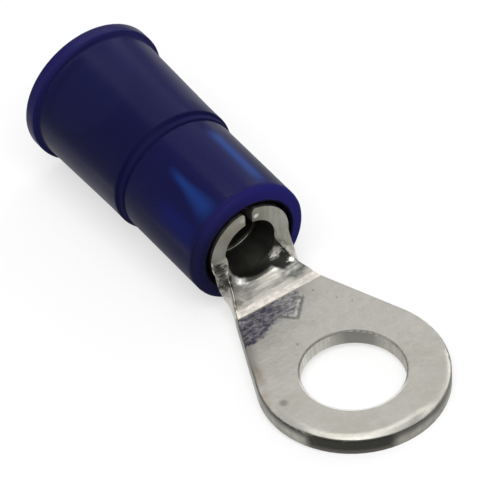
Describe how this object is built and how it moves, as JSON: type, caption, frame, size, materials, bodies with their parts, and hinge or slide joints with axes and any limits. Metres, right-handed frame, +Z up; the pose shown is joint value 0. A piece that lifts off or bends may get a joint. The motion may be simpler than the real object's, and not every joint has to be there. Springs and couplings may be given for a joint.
{
  "type": "ring terminal",
  "caption": "Insulated ring terminal: flat ring tongue with a stud hole, rolled wire barrel, and a moulded sleeve with a shoulder and a flanged wire entry.",
  "frame": {"origin": "centre of the stud hole on the tongue's underside", "axes": "+X along the barrel's axis, from the ring towards the wire entry; +Z up along the stud hole's axis, with the barrel on the upper side; +Y completes the right-handed frame"},
  "size_m": [0.0264, 0.0092, 0.0075],
  "materials": {
    "tinned_copper": "satin tin plate with faint mottling",
    "blue_nylon": "glossy, slightly see-through dark blue nylon"
  },
  "bodies": {
    "root": {"terminal_body": "tinned_copper", "insulating_sleeve": "blue_nylon"}
  },
  "joints": []
}
